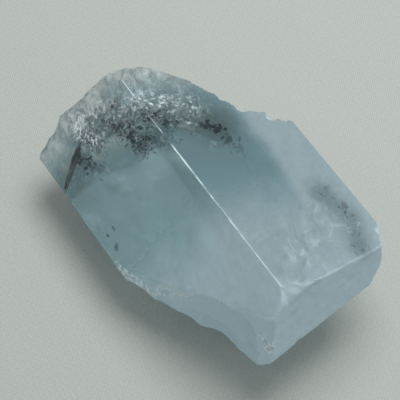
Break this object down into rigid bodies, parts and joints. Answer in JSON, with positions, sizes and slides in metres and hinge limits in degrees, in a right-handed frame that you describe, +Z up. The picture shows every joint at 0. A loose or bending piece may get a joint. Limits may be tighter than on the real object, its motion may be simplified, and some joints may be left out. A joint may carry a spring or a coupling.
{
  "type": "rough crystal",
  "caption": "Rough translucent pale blue beryl prism fragment with a straight worn ridge, broken ends and a flat underside, for display.",
  "frame": {"origin": "on the surface the stone rests on, below the middle of its bounding box", "axes": "+X along the prism's long axis towards its paler end, +Z up, +Y towards the wider prism face"},
  "size_m": [0.0598, 0.0394, 0.026],
  "materials": {
    "aquamarine": "satin"
  },
  "bodies": {
    "root": {"crystal": "aquamarine"}
  },
  "joints": []
}
